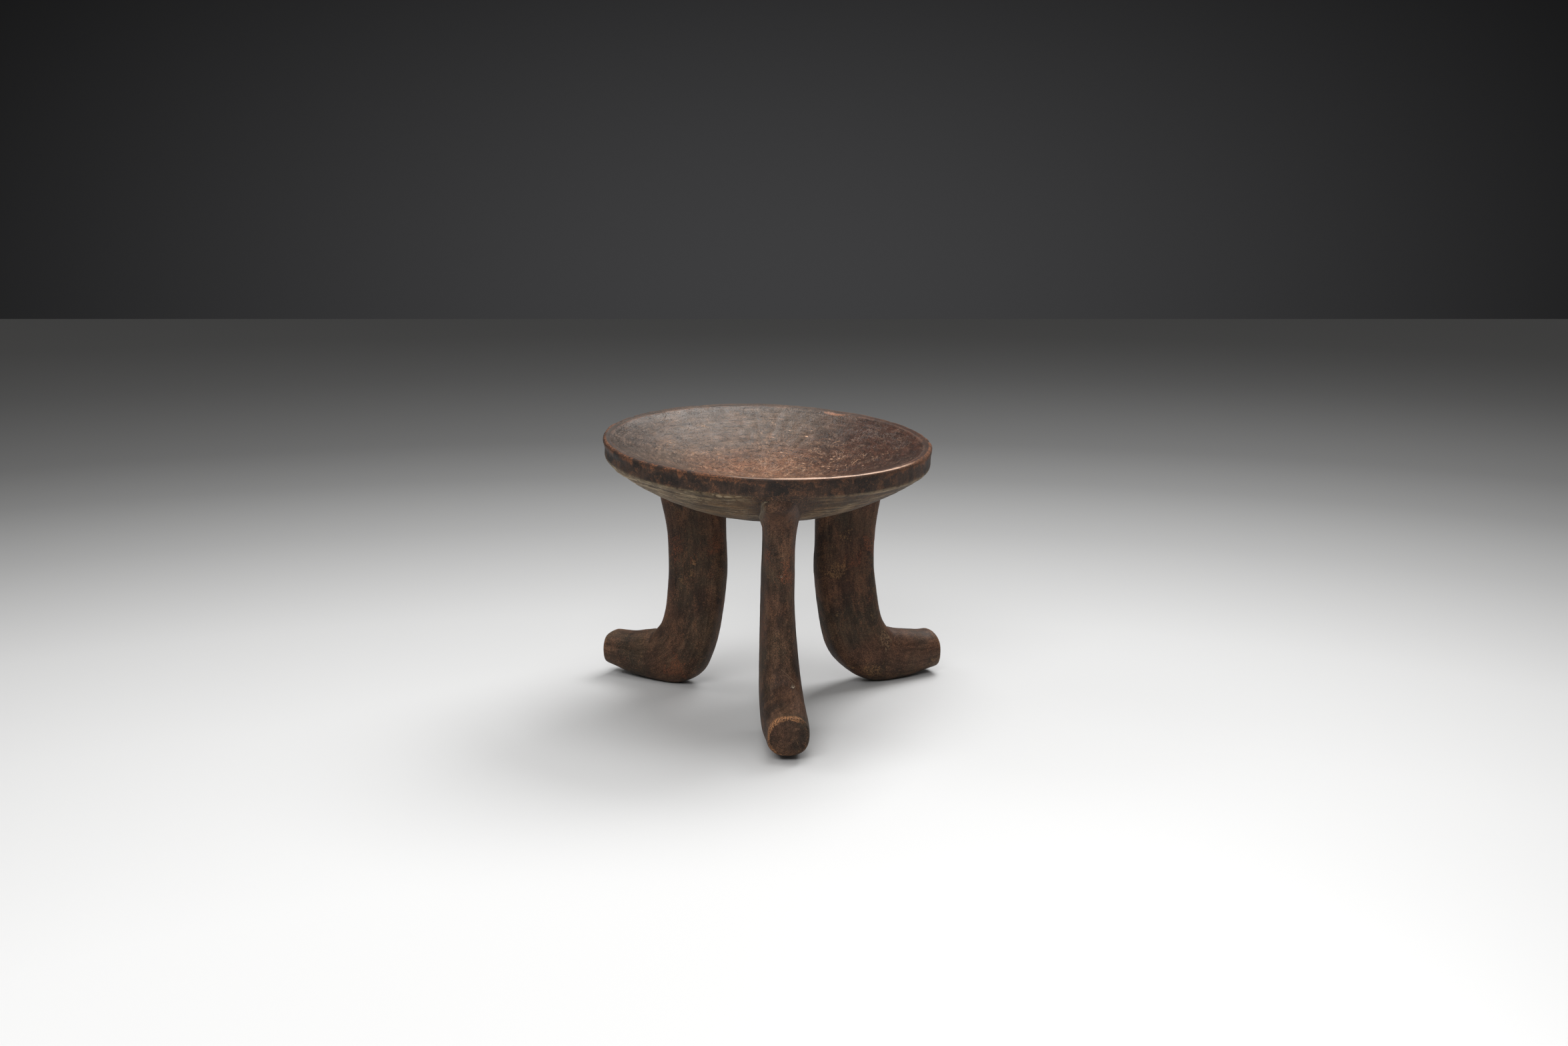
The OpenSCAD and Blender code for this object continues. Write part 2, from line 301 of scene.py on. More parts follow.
def cut_flat(points, place, way):
    """Cuts what lies beyond a plane back to it, and leaves the edge a little worn."""
    worn = 0.7
    way = way / np.linalg.norm(way)
    beyond = (points - place) @ way / (worn * MM)
    return points - np.outer((beyond + np.logaddexp(0, -beyond)) * worn * MM, way)


# ---- the seat
def arc(middle, radius, start, end, steps):
    """Points of an arc in the plane of a half section. Angles are in radians."""
    return [(middle[0] + radius * math.cos(start + (end - start) * i / steps),
             middle[1] + radius * math.sin(start + (end - start) * i / steps)) for i in range(steps + 1)]


def between(start, end, steps):
    """Points of a straight stretch of a half section, without its ends."""
    return [(start[0] + (end[0] - start[0]) * i / steps, start[1] + (end[1] - start[1]) * i / steps)
            for i in range(1, steps)]


def seat_section():
    """Half of the seat's section, from the middle of the hollow over the rim to the middle of the underside."""
    inner_x = math.sqrt((HOLLOW_R + LIP_INNER_ROUND) ** 2 - (HOLLOW_Z + LIP_INNER_ROUND) ** 2)
    inner_turn = math.atan2(inner_x, HOLLOW_Z + LIP_INNER_ROUND)
    outer_x = RIM_R - LIP_OUTER_ROUND
    band_z = DOME_Z - math.sqrt((DOME_R - BAND_ROUND) ** 2 - (RIM_R - BAND_ROUND) ** 2)
    band_turn = math.atan2(band_z - DOME_Z, RIM_R - BAND_ROUND)
    down = -math.pi / 2
    return (arc((0, HOLLOW_Z), HOLLOW_R, down, down + inner_turn, HOLLOW_STEPS)
            + arc((inner_x, -LIP_INNER_ROUND), LIP_INNER_ROUND, -down + inner_turn, -down, LIP_STEPS)[1:]
            + between((inner_x, 0), (outer_x, 0), TOP_STEPS)
            + arc((outer_x, -LIP_OUTER_ROUND), LIP_OUTER_ROUND, -down, 0, ROUND_STEPS)
            + between((RIM_R, -LIP_OUTER_ROUND), (RIM_R, band_z), BAND_STEPS)
            + arc((RIM_R - BAND_ROUND, band_z), BAND_ROUND, 0, band_turn, ROUND_STEPS)
            + arc((0, DOME_Z), DOME_R, band_turn, down, DOME_STEPS)[1:])


def turn_seat():
    """The plain seat: its half section, drawn point by point and spun round the upright line."""
    section = seat_section()
    bpy.ops.mesh.primitive_plane_add(size=MM, location=(0, 0, 0))
    seat = bpy.context.object
    take_up(seat)
    work_in("EDIT")
    bpy.ops.mesh.select_all(action="SELECT")
    bpy.ops.mesh.merge(type="CENTER")
    bpy.ops.transform.translate(value=(section[0][0], 0, section[0][1]))
    for (r, z), (next_r, next_z) in zip(section, section[1:]):
        bpy.ops.mesh.extrude_vertices_move(TRANSFORM_OT_translate={"value": (next_r - r, 0, next_z - z)})
    bpy.ops.mesh.select_all(action="SELECT")
    bpy.ops.mesh.spin(steps=SPIN_STEPS, angle=2 * math.pi, center=(0, 0, 0), axis=(0, 0, 1))
    bpy.ops.mesh.select_all(action="SELECT")
    bpy.ops.mesh.remove_doubles(threshold=0.01 * MM)
    bpy.ops.mesh.normals_make_consistent(inside=False)
    work_in("OBJECT")
    return seat


def seat_parts(points):
    """How far each point belongs to the hollow, the lip, the underside and the band, in the seat's own frame.
    One part fades into the next over a few millimetres."""
    r, z = round_middle(points)[0], points[:, 2]
    off_hollow = abs(np.hypot(r, z - HOLLOW_Z) - HOLLOW_R)
    off_dome = abs(np.hypot(r, z - DOME_Z) - DOME_R)
    hollow = rise(r, HOLLOW_EDGE + 1.5 * MM, HOLLOW_EDGE - 1.5 * MM) * rise(off_hollow, 9 * MM, 6 * MM)
    under = rise(-z, BAND_HEIGHT - 3.5 * MM, BAND_HEIGHT + 0.5 * MM) * (1 - hollow)
    under *= rise(off_dome, 9 * MM, 6 * MM)
    lip = rise(z, -5.5 * MM, -1.5 * MM) * (1 - hollow)
    return hollow, lip, under, np.clip(1 - hollow - lip - under, 0, 1)


def at_rim(angle, radius, z):
    """A place on the seat, in its own frame, by its angle in degrees from the right hand side."""
    return np.array([radius * math.cos(math.radians(angle)), radius * math.sin(math.radians(angle)), z])


def round_at(r):
    """The way round the seat at a distance from its middle."""
    return 2 * np.pi * r


def round_middle(points):
    """How far each point of the seat lies from its middle line, and in which direction."""
    return np.hypot(points[:, 0], points[:, 1]), np.arctan2(points[:, 1], points[:, 0])


def tool_marks(points, r, turn, degrees):
    """How far the gouge and the knife moved each point of the seat outwards, and how far it lies on the top.
    Depths are in millimetres."""
    (hollow, lip, under, band), z = seat_parts(points), points[:, 2]
    # Gouge scoops round the hollow's wall, worn away where people sit
    scoops = cuts(r, turn, round_at, length=25 * MM, width=13 * MM, seed=11)
    kept = rise(r, 55 * MM, 105 * MM) * rise(r, 178 * MM, 166 * MM) * (0.5 + 0.5 * waves(points, 0.09, seed=12))
    scoop_depth, swell_depth, pore_depth = 1.9, 0.35, 0.06
    height = hollow * (kept * (scoops - SCOOP_LEVEL) * scoop_depth + swell_depth * waves(points, 0.045, seed=13)
                       + pore_depth * waves(points, 0.008, seed=25)) * MM
    # Upright strokes down the band, and long level slices round the underside
    strokes = cuts(-z, turn, lambda down: round_at(RIM_R), length=17 * MM, width=9.5 * MM, seed=14)
    stroke_depth, swell_depth = 0.45, 0.3
    height += band * ((strokes - CUT_LEVEL) * stroke_depth + swell_depth * waves(points, 0.03, seed=15)) * MM
    slices = cuts(r, turn, round_at, length=6 * MM, width=58 * MM, seed=16)
    slice_depth, swell_depth, sink = 0.9, 0.5, 0.5
    height += under * ((slices - CUT_LEVEL) * slice_depth + swell_depth * waves(points, 0.05, seed=17)) * MM
    height -= sink * MM * under * rise(r, 140 * MM, 90 * MM)
    # At the front left and right the knife left a thin raised edge below the band, and a groove under it
    thin = np.maximum(rise(abs(degrees - 217), 40, 14), rise(abs(degrees - 322), 34, 12))
    thin *= np.clip(0.6 + 1.0 * waves(points, 0.05, seed=23), 0, 1)
    below = -z - BAND_HEIGHT - 2.5 * MM * waves(points, 0.04, seed=24)
    edge_height, groove_depth = 0.6, 1.2
    height += thin * (edge_height * np.exp(-((below - 3 * MM) / (1.1 * MM)) ** 2)
                      - groove_depth * np.exp(-((below - 6.5 * MM) / (2.6 * MM)) ** 2)) * MM
    # The lip is uneven, and rougher at the front left
    rough = rise(abs(degrees - 215), 50, 20)
    height += lip * ((0.3 + 0.2 * rough) * waves(points, 0.012, seed=18) + 0.4 * waves(points, 0.04, seed=19)
                     + 0.3 * rough * waves(points, 0.0045, seed=26)) * MM
    return height, np.clip(hollow + lip, 0, 1)


def wear_rim(points, r, turn, degrees, upper):
    """Slopes the lip, rounds the band's worn corners, and makes the rim a little uneven. upper is 1 on the top."""
    z, lip_drop = points[:, 2], 1.6 * MM
    z -= lip_drop * rise(r, 184.5 * MM, 177 * MM) * rise(r, 140 * MM, 175 * MM) * upper
    # The band's lower corner is worn round at the two ends of the seat
    corner = np.maximum(rise(abs(degrees - 192), 30, 8), 0.4 * rise(abs((degrees + 20) % 360 - 8), 24, 6))
    low = rise(-z, 3 * MM, 13 * MM) * rise(z, -28 * MM, -19 * MM) * rise(r, 166 * MM, 182 * MM)
    left_end = 0.003 * rise(abs(degrees - 188), 22, 8) * rise(r, 150 * MM, 182 * MM)
    points[:, :2] *= 1 - (0.012 * corner * low + left_end)[:, None]
    # The rim isn't a true circle, nor quite level, and the band's lower edge wanders
    away = np.column_stack([np.cos(turn), np.sin(turn), 0 * turn])
    on_rim = rise(r, 120 * MM, 180 * MM)
    points += away * (on_rim * 0.7 * MM * waves(away, 0.55, seed=20))[:, None]
    z += on_rim * 0.6 * MM * waves(away, 0.45, seed=21) * rise(z, -16 * MM, -2 * MM)
    z -= on_rim * 0.6 * MM * rise(abs(degrees - 33), 30, 10) * rise(z, -16 * MM, -2 * MM)
    z += on_rim * 1.0 * MM * waves(away, 0.3, seed=22) * rise(-z, 8 * MM, 20 * MM)
    return points


def chip_rim(points):
    """A long worn chip on the far rim, a worn end at the left, a short deep chip at the right, and small ones."""
    points = dent(points, at_rim(62.5, RIM_R - 11 * MM, -2 * MM), (13 * MM, 5 * MM, 6 * MM), (0, 0.7 * MM, -1 * MM))
    points = dent(points, at_rim(168, RIM_R, -4 * MM), 14 * MM, (-1.2 * MM, 0.3 * MM, 0.3 * MM))
    points = dent(points, at_rim(4, RIM_R, -1 * MM), (4 * MM, 4 * MM, 5 * MM), (-2.6 * MM, 0, -1.2 * MM))
    for angle, size, drop in CHIPS:
        push = at_rim(angle, -drop * 0.6 * MM, -drop * MM)
        points = dent(points, at_rim(angle, RIM_R - 1 * MM, 0), size * MM, push)
    return points


def carve_seat(seat):
    """Puts in what the gouge and the knife left, the wear and the chips, and sets the seat in its place."""
    points, normals = points_of(seat), normals_of(seat)
    r, turn = round_middle(points)
    degrees = np.degrees(turn) % 360
    height, upper = tool_marks(points, r, turn, degrees)
    points = wear_rim(points + normals * height[:, None], r, turn, degrees, upper)
    move_to(seat, chip_rim(points))
    seat.matrix_world = SEAT_PLACE
    take_up(seat)
    bpy.ops.object.transform_apply(location=True, rotation=True, scale=True)


# ---- the legs
def leg_frame(name, points):
    """Where each point lies on a leg, as if the leg were straight: how far along its middle line from root to toe,
    how far to the side of it, and how far out or above it."""
    turn = math.radians(LEG_TURN[name])
    out_way, side_way = np.array([math.cos(turn), math.sin(turn)]), np.array([-math.sin(turn), math.cos(turn)])
    flat, height = points[:, :2] - np.array(LEG_MIDDLE)[:2], points[:, 2]
    out, side = flat @ out_way, flat @ side_way
    line = np.array(LEG_LINE) * MM
    # The middle line in short steps, with its corners smoothed by a moving mean
    steps, window = np.linspace(0, len(line) - 1, 161), 15
    smooth = np.column_stack([np.interp(steps, range(len(line)), line[:, k]) for k in (0, 1)])
    padded = np.pad(smooth, ((window // 2, window // 2), (0, 0)), mode="edge")
    smooth = np.column_stack([np.convolve(padded[:, k], np.ones(window) / window, "valid") for k in (0, 1)])
    length = np.concatenate([[0], np.cumsum(np.hypot(*np.diff(smooth, axis=0).T))])
    gap = (out[:, None] - smooth[None, :, 0]) ** 2 + (height[:, None] - smooth[None, :, 1]) ** 2
    nearest = gap.argmin(axis=1)
    ahead = np.gradient(smooth, axis=0)
    ahead /= np.linalg.norm(ahead, axis=1)[:, None]
    offset = np.column_stack([out, height]) - smooth[nearest]
    across = offset[:, 0] * -ahead[nearest, 1] + offset[:, 1] * ahead[nearest, 0]
    run = length[nearest] + np.einsum("ij,ij->i", offset, ahead[nearest])
    return run, side, across


def plain_leg(name):
    """A copy of a leg of the CAD model, run on into the seat and given an even net of points."""
    leg = frame["nodes"][name].copy()
    leg.data = leg.data.copy()
    leg.parent = None
    bpy.context.collection.objects.link(leg)
    take_up(leg)
    work_in("EDIT")
    bpy.ops.mesh.select_all(action="SELECT")
    bpy.ops.mesh.remove_doubles(threshold=0.02 * MM)
    bpy.ops.mesh.select_all(action="DESELECT")
    bpy.ops.mesh.select_mode(type="FACE")
    work_in("OBJECT")
    dome = np.array(SEAT_PLACE @ Vector((0, 0, DOME_Z)))
    on_dome = abs(np.linalg.norm(points_of(leg) - dome, axis=1) - DOME_R) < 0.3 * MM
    for face in leg.data.polygons:
        face.select = all(on_dome[v] for v in face.vertices)
    work_in("EDIT")
    upwards = SEAT_PLACE.to_3x3() @ Vector((0, 0, RUN_ON))
    bpy.ops.mesh.extrude_region_move(TRANSFORM_OT_translate={"value": upwards})
    work_in("OBJECT")
    finish_with(leg, "REMESH", mode="VOXEL", voxel_size=NET)
    return leg


def carve_leg(name):
    """A leg: the plain form smoothed, bent a little, cut flat at the toe, and shaved with long strokes."""
    leg = plain_leg(name)
    points, edges = points_of(leg), edges_of(leg)
    run, side, across = leg_frame(name, points)
    smoothing = 0.5 - 0.4 * rise(run, 345 * MM, 358 * MM)
    points = ease(points, edges, smoothing, times=14)
    turned = np.array(Matrix.Rotation(math.radians(LEG_TURN[name]), 3, "Z"))
    middle = np.array(LEG_MIDDLE)
    toe_growth = rise(run, 338 * MM, 354 * MM) * 4 * MM
    points += np.outer(toe_growth, turned[:, 0])
    for place, size, push in LEG_SHAPE[name]:
        points = dent(points, middle + turned @ place * MM, np.array(size) * MM, turned @ push * MM)
    toe = rise(run, 300 * MM, 301 * MM)[:, None]
    for place, way in TOE_CUTS[name]:
        points += toe * (cut_flat(points, middle + turned @ place * MM, turned @ way) - points)
    move_to(leg, points)
    normals = normals_of(leg)
    # Long shaving strokes, fainter on the foot, and the crease where the shin turns into the foot
    crease_depth, fuller, seed = LEG_CARVING[name]
    shaved = cuts(run, np.arctan2(side, across), lambda along: LEG_GIRTH, length=60 * MM, width=15 * MM, seed=seed)
    faint = 1 - 0.65 * rise(run, 240 * MM, 290 * MM)
    height = faint * ((shaved - CUT_LEVEL) * 0.5 + 0.3 * waves(points, (0.03, 0.03, 0.07), seed + 1))
    height += 0.1 * waves(points, 0.009, seed + 2) + 0.3 * waves(points, 0.03, seed + 3)
    crease = np.exp(-((run - ANKLE - 0.5 * abs(side)) / (5 * MM)) ** 2) * rise(across, 4 * MM, 24 * MM)
    height += fuller - crease_depth * crease
    on_floor = rise(points[:, 2], 0.2 * MM, 3 * MM)
    points += normals * (height * on_floor * MM)[:, None]
    points[:, 2] = np.maximum(points[:, 2], 0)
    move_to(leg, points)
    return leg


# ---- one block, taken apart at the legs' roots
def join_block(seat, legs, marks):
    """Joins the legs to the seat. Each face keeps a mark that says which piece it comes from."""
    for number, piece in enumerate([seat, *legs]):
        piece.data.materials.clear()
        for mark in marks:
            piece.data.materials.append(mark)
        piece.data.polygons.foreach_set("material_index", np.full(len(piece.data.polygons), number))
    for leg in legs:
        finish_with(seat, "BOOLEAN", operation="UNION", object=leg, solver="MANIFOLD")
        bpy.data.objects.remove(leg)
    return seat


def ease_roots(block):
    """Works the crease round each leg's root into a small hollow, and runs the front leg up into the band."""
    points, edges = points_of(block), edges_of(block)
    corner_point = read(block.data.loops, "vertex_index", kind=int)
    owner = read(block.data.polygons, "material_index", kind=int)
    corner_owner = np.repeat(owner, read(block.data.polygons, "loop_total", kind=int))
    lowest, highest = np.full(len(points), owner.max()), np.full(len(points), owner.min())
    np.minimum.at(lowest, corner_point, corner_owner)
    np.maximum.at(highest, corner_point, corner_owner)
    crease = np.flatnonzero(lowest != highest)
    tree = KDTree(len(crease))
    for number, point in enumerate(crease):
        tree.insert(points[point], number)
    tree.balance()
    near = np.full(len(points), FAR_OFF)
    for point in np.flatnonzero(points[:, 2] > ROOTS_ABOVE):
        near[point] = tree.find(points[point])[2]
    write_down(block, "near_root", near)
    front = rise(points[:, 1], -0.1, -0.15) * rise(points[:, 0], -16 * MM, 4 * MM)
    reach = (2.2 + 10 * front) * MM
    move_to(block, ease(points, edges, 0.5 * rise(near / reach, 1, 0.2), times=14))


def note_wear(block):
    """Writes down where the wood stands proud and gets rubbed, and where it lies low in creases that the finishes
    darken as painted shade.
    """
    points, normals, edges = points_of(block), normals_of(block), edges_of(block)
    count = neighbours(edges, len(points))
    step = points[edges[:, 1]] - points[edges[:, 0]]
    far = np.einsum("ij,ij->i", step, step)
    square = gather(edges, len(points), far, far) / count
    lean = sum(gather(edges, len(points), step[:, k], -step[:, k]) * normals[:, k] for k in range(3)) / count
    proud = np.clip(-lean / np.maximum(square, (0.5 * MM) ** 2), -SHARPEST, SHARPEST)
    write_down(block, "ridge", np.clip(ease(proud, edges, 0.5, times=2) / SHARP, -1, 1))
    write_down(block, "edge", np.clip(ease(proud, edges, 0.5, times=12) / SHARP, -1, 1))
    write_down(block, "lie", normals)


def take_apart(block):
    """Parts the block at the legs' roots, closes each piece, and keeps the block's own shading across the line."""
    take_up(block)
    work_in("EDIT")
    bpy.ops.mesh.select_all(action="SELECT")
    bpy.ops.mesh.separate(type="MATERIAL")
    work_in("OBJECT")
    pieces = {}
    for piece in list(bpy.context.selected_objects):
        name = piece.data.materials[0].name
        pieces[name] = piece
        piece.name = "carved_" + name
        take_up(piece)
        work_in("EDIT")
        bpy.ops.mesh.select_all(action="DESELECT")
        bpy.ops.mesh.select_mode(type="EDGE")
        bpy.ops.mesh.select_non_manifold(extend=False, use_wire=False, use_multi_face=False,
                                         use_non_contiguous=False, use_verts=False)
        bpy.ops.mesh.fill_holes(sides=0)
        bpy.ops.mesh.select_mode(type="FACE")
        bpy.ops.mesh.quads_convert_to_tris(quad_method="BEAUTY", ngon_method="BEAUTY")
        work_in("OBJECT")
        bpy.ops.object.shade_smooth()
        whole = read(piece.data.attributes["lie"].data, "vector", 3)
        piece.data.normals_split_custom_set_from_vertices(whole)
        piece.data.attributes.remove(piece.data.attributes["lie"])
    return pieces


# ---- finishes
def colour(red, green, blue):
    """A colour as a screen shows it, 0 to 255, in the shader's own measure."""
    return (*(((c / 255 + 0.055) / 1.055) ** 2.4 for c in (red, green, blue)), 1)


class Value:
    """A socket in a finish. Sums, differences, products and quotients of values are Math nodes."""

    def __init__(self, finish, socket):
        self.finish, self.socket = finish, socket

    def maths(self, operation, *values):
        return self.finish.add("ShaderNodeMath", {"operation": operation}, dict(enumerate(values)))

    def __add__(self, other):
        return self.maths("ADD", self, other)

    __radd__ = __add__

    def __sub__(self, other):
        return self.maths("SUBTRACT", self, other)

    def __rsub__(self, other):
        return self.maths("SUBTRACT", other, self)

    def __mul__(self, other):
        return self.maths("MULTIPLY", self, other)

    __rmul__ = __mul__

    def __truediv__(self, other):
        return self.maths("DIVIDE", self, other)

    def __abs__(self):
        return self.maths("ABSOLUTE", self)

    def rise(self, low, high):
        """0 at low, 1 at high, and smooth between. It is a fall where low is above high."""
        return self.finish.add("ShaderNodeMapRange", {"interpolation_type": "SMOOTHSTEP"},
                               {"Value": self, "From Min": low, "From Max": high, "To Min": 0, "To Max": 1})

    def also(self, name):
        """Another socket of the same node."""
        return Value(self.finish, self.socket.node.outputs[name])


class Finish:
    """The nodes of a material, or of the studio round it."""

    def __init__(self, owner):
        owner.use_nodes = True
        self.owner, self.tree = owner, owner.node_tree
        self.shader = self.tree.nodes.get("Principled BSDF") or self.tree.nodes["Background"]

    def add(self, kind, settings=None, sockets=None, output=0):
        """Adds a node, sets it, feeds its sockets, and gives one of its outputs."""
        node = self.tree.nodes.new(kind)
        for name, value in (settings or {}).items():
            if name == "stops":
                while len(node.color_ramp.elements) < len(value):
                    node.color_ramp.elements.new(1)
                for stop, (position, tone) in zip(node.color_ramp.elements, value):
                    stop.position, stop.color = position, tone
            else:
                setattr(node, name, value)
        for socket, value in (sockets or {}).items():
            self.put(node.inputs[socket], value)
        return Value(self, node.outputs[output])

    def put(self, socket, value):
        if isinstance(value, Value):
            self.tree.links.new(value.socket, socket)
        else:
            socket.default_value = value

    def shade(self, **sockets):
        """Sets sockets of the shader by their names, with _ for a space."""
        for name, value in sockets.items():
            self.put(self.shader.inputs[name.replace("_", " ")], value)

    def noise(self, vector, scale, detail=3, roughness=0.5, distortion=0):
        return self.add("ShaderNodeTexNoise", {}, {"Vector": vector, "Scale": scale, "Detail": detail,
                                                   "Roughness": roughness, "Distortion": distortion}, "Fac")

    def mix(self, share, *tones):
        """The first tone where the share is 0, the second where it is 1. Three plain numbers are a screen's."""
        first, second = (colour(*tone) if isinstance(tone, tuple) and len(tone) == 3 else tone for tone in tones)
        return self.add("ShaderNodeMix", {"data_type": "RGBA", "clamp_factor": True},
                        {0: share, 6: first, 7: second}, 2)

    def layers(self, tone, *coats):
        """Lays coats over a tone, one after the other: each has a share and a tone."""
        for share, other in coats:
            tone = self.mix(share, tone, other)
        return tone

    def place(self, kind="Object"):
        return self.add("ShaderNodeTexCoord", {}, {}, kind)

    def part(self, vector, axis):
        return self.add("ShaderNodeSeparateXYZ", {}, {0: vector}, axis)

    def vector(self, operation, *values):
        output = "Value" if operation in ("DISTANCE", "DOT_PRODUCT", "LENGTH") else "Vector"
        return self.add("ShaderNodeVectorMath", {"operation": operation}, dict(enumerate(values)), output)

    def stretch(self, vector, x, y, z):
        return self.vector("MULTIPLY", vector, (x, y, z))

    def turned(self, vector, degrees=0, shift=0):
        return self.add("ShaderNodeMapping", {}, {"Vector": vector, "Rotation": (0, 0, math.radians(degrees)),
                                                  "Location": (shift, shift, shift)})

    def bright(self, tone, value):
        """A tone times a number. A plain tone has three numbers here."""
        return self.add("ShaderNodeVectorMath", {"operation": "SCALE"}, {0: tone, "Scale": value})

    def uneven(self, tone, *noises):
        """A tone made lighter and darker by each noise, as much as the amount given with it, but never black."""
        return self.bright(tone, math.prod(noise.maths("MAXIMUM", 1 - 0.5 * amount + noise * amount, 0.1)
                                           for noise, amount in noises))

    def note(self, name, output="Fac"):
        """What was written down for each point of the piece."""
        return self.add("ShaderNodeAttribute", {"attribute_name": name}, {}, output)

    def spots(self, tone, place, ragged, fine, spots):
        """Ragged patches of other colours, each at its place and of its size."""
        for where, size, other in spots:
            far = self.vector("DISTANCE", place, Vector(where) * MM)
            near = (far + (ragged - 0.5) * (size * 12 * MM)).rise(size * MM, 0.5 * size * MM)
            tone = self.mix(near * fine.rise(0.46, 0.57) * 0.8, tone, other)
        return tone

    def stroke(self, flat, start, end, width):
        """A thin scratch from one place to another, seen along one of the ways: 1 on it."""
        start, way, fade = Vector(start) * MM, (Vector(end) - Vector(start)) * MM, 3 * MM
        ahead = self.vector("SUBTRACT", flat, start)
        along = self.vector("DOT_PRODUCT", ahead, way.normalized())
        off = self.vector("DISTANCE", ahead, self.bright(way.normalized(), along))
        begun, not_over = along.rise(0, fade), along.rise(way.length, way.length - fade)
        return off.rise(width * MM, 0.4 * width * MM) * begun * not_over

    def bump(self, height, depth, strength, **below):
        return self.add("ShaderNodeBump", {}, {"Height": height, "Distance": depth * MM,
                                               "Strength": strength, **below})

    def carve(self, tone, roughness, shine, grooves, strength, pores):
        """Gives the wood its tone and its roughness, with fine grooves, and pores over them."""
        relief = self.bump(pores, 1.2, 0.4, Normal=self.bump(grooves, 1, strength))
        self.shade(Base_Color=tone, Roughness=roughness, Specular_IOR_Level=shine, Normal=relief)

    def scratches(self, vector, degrees, scale, shift):
        """Thin broken lines that run mostly one way: 1 on a line."""
        turned = self.turned(vector, degrees, shift)
        line = self.noise(self.stretch(turned, 1, 0.09, 1), scale, detail=2)
        return abs(line - 0.5).rise(0.02, 0.004) * self.noise(turned, 60, detail=2).rise(0.52, 0.6)


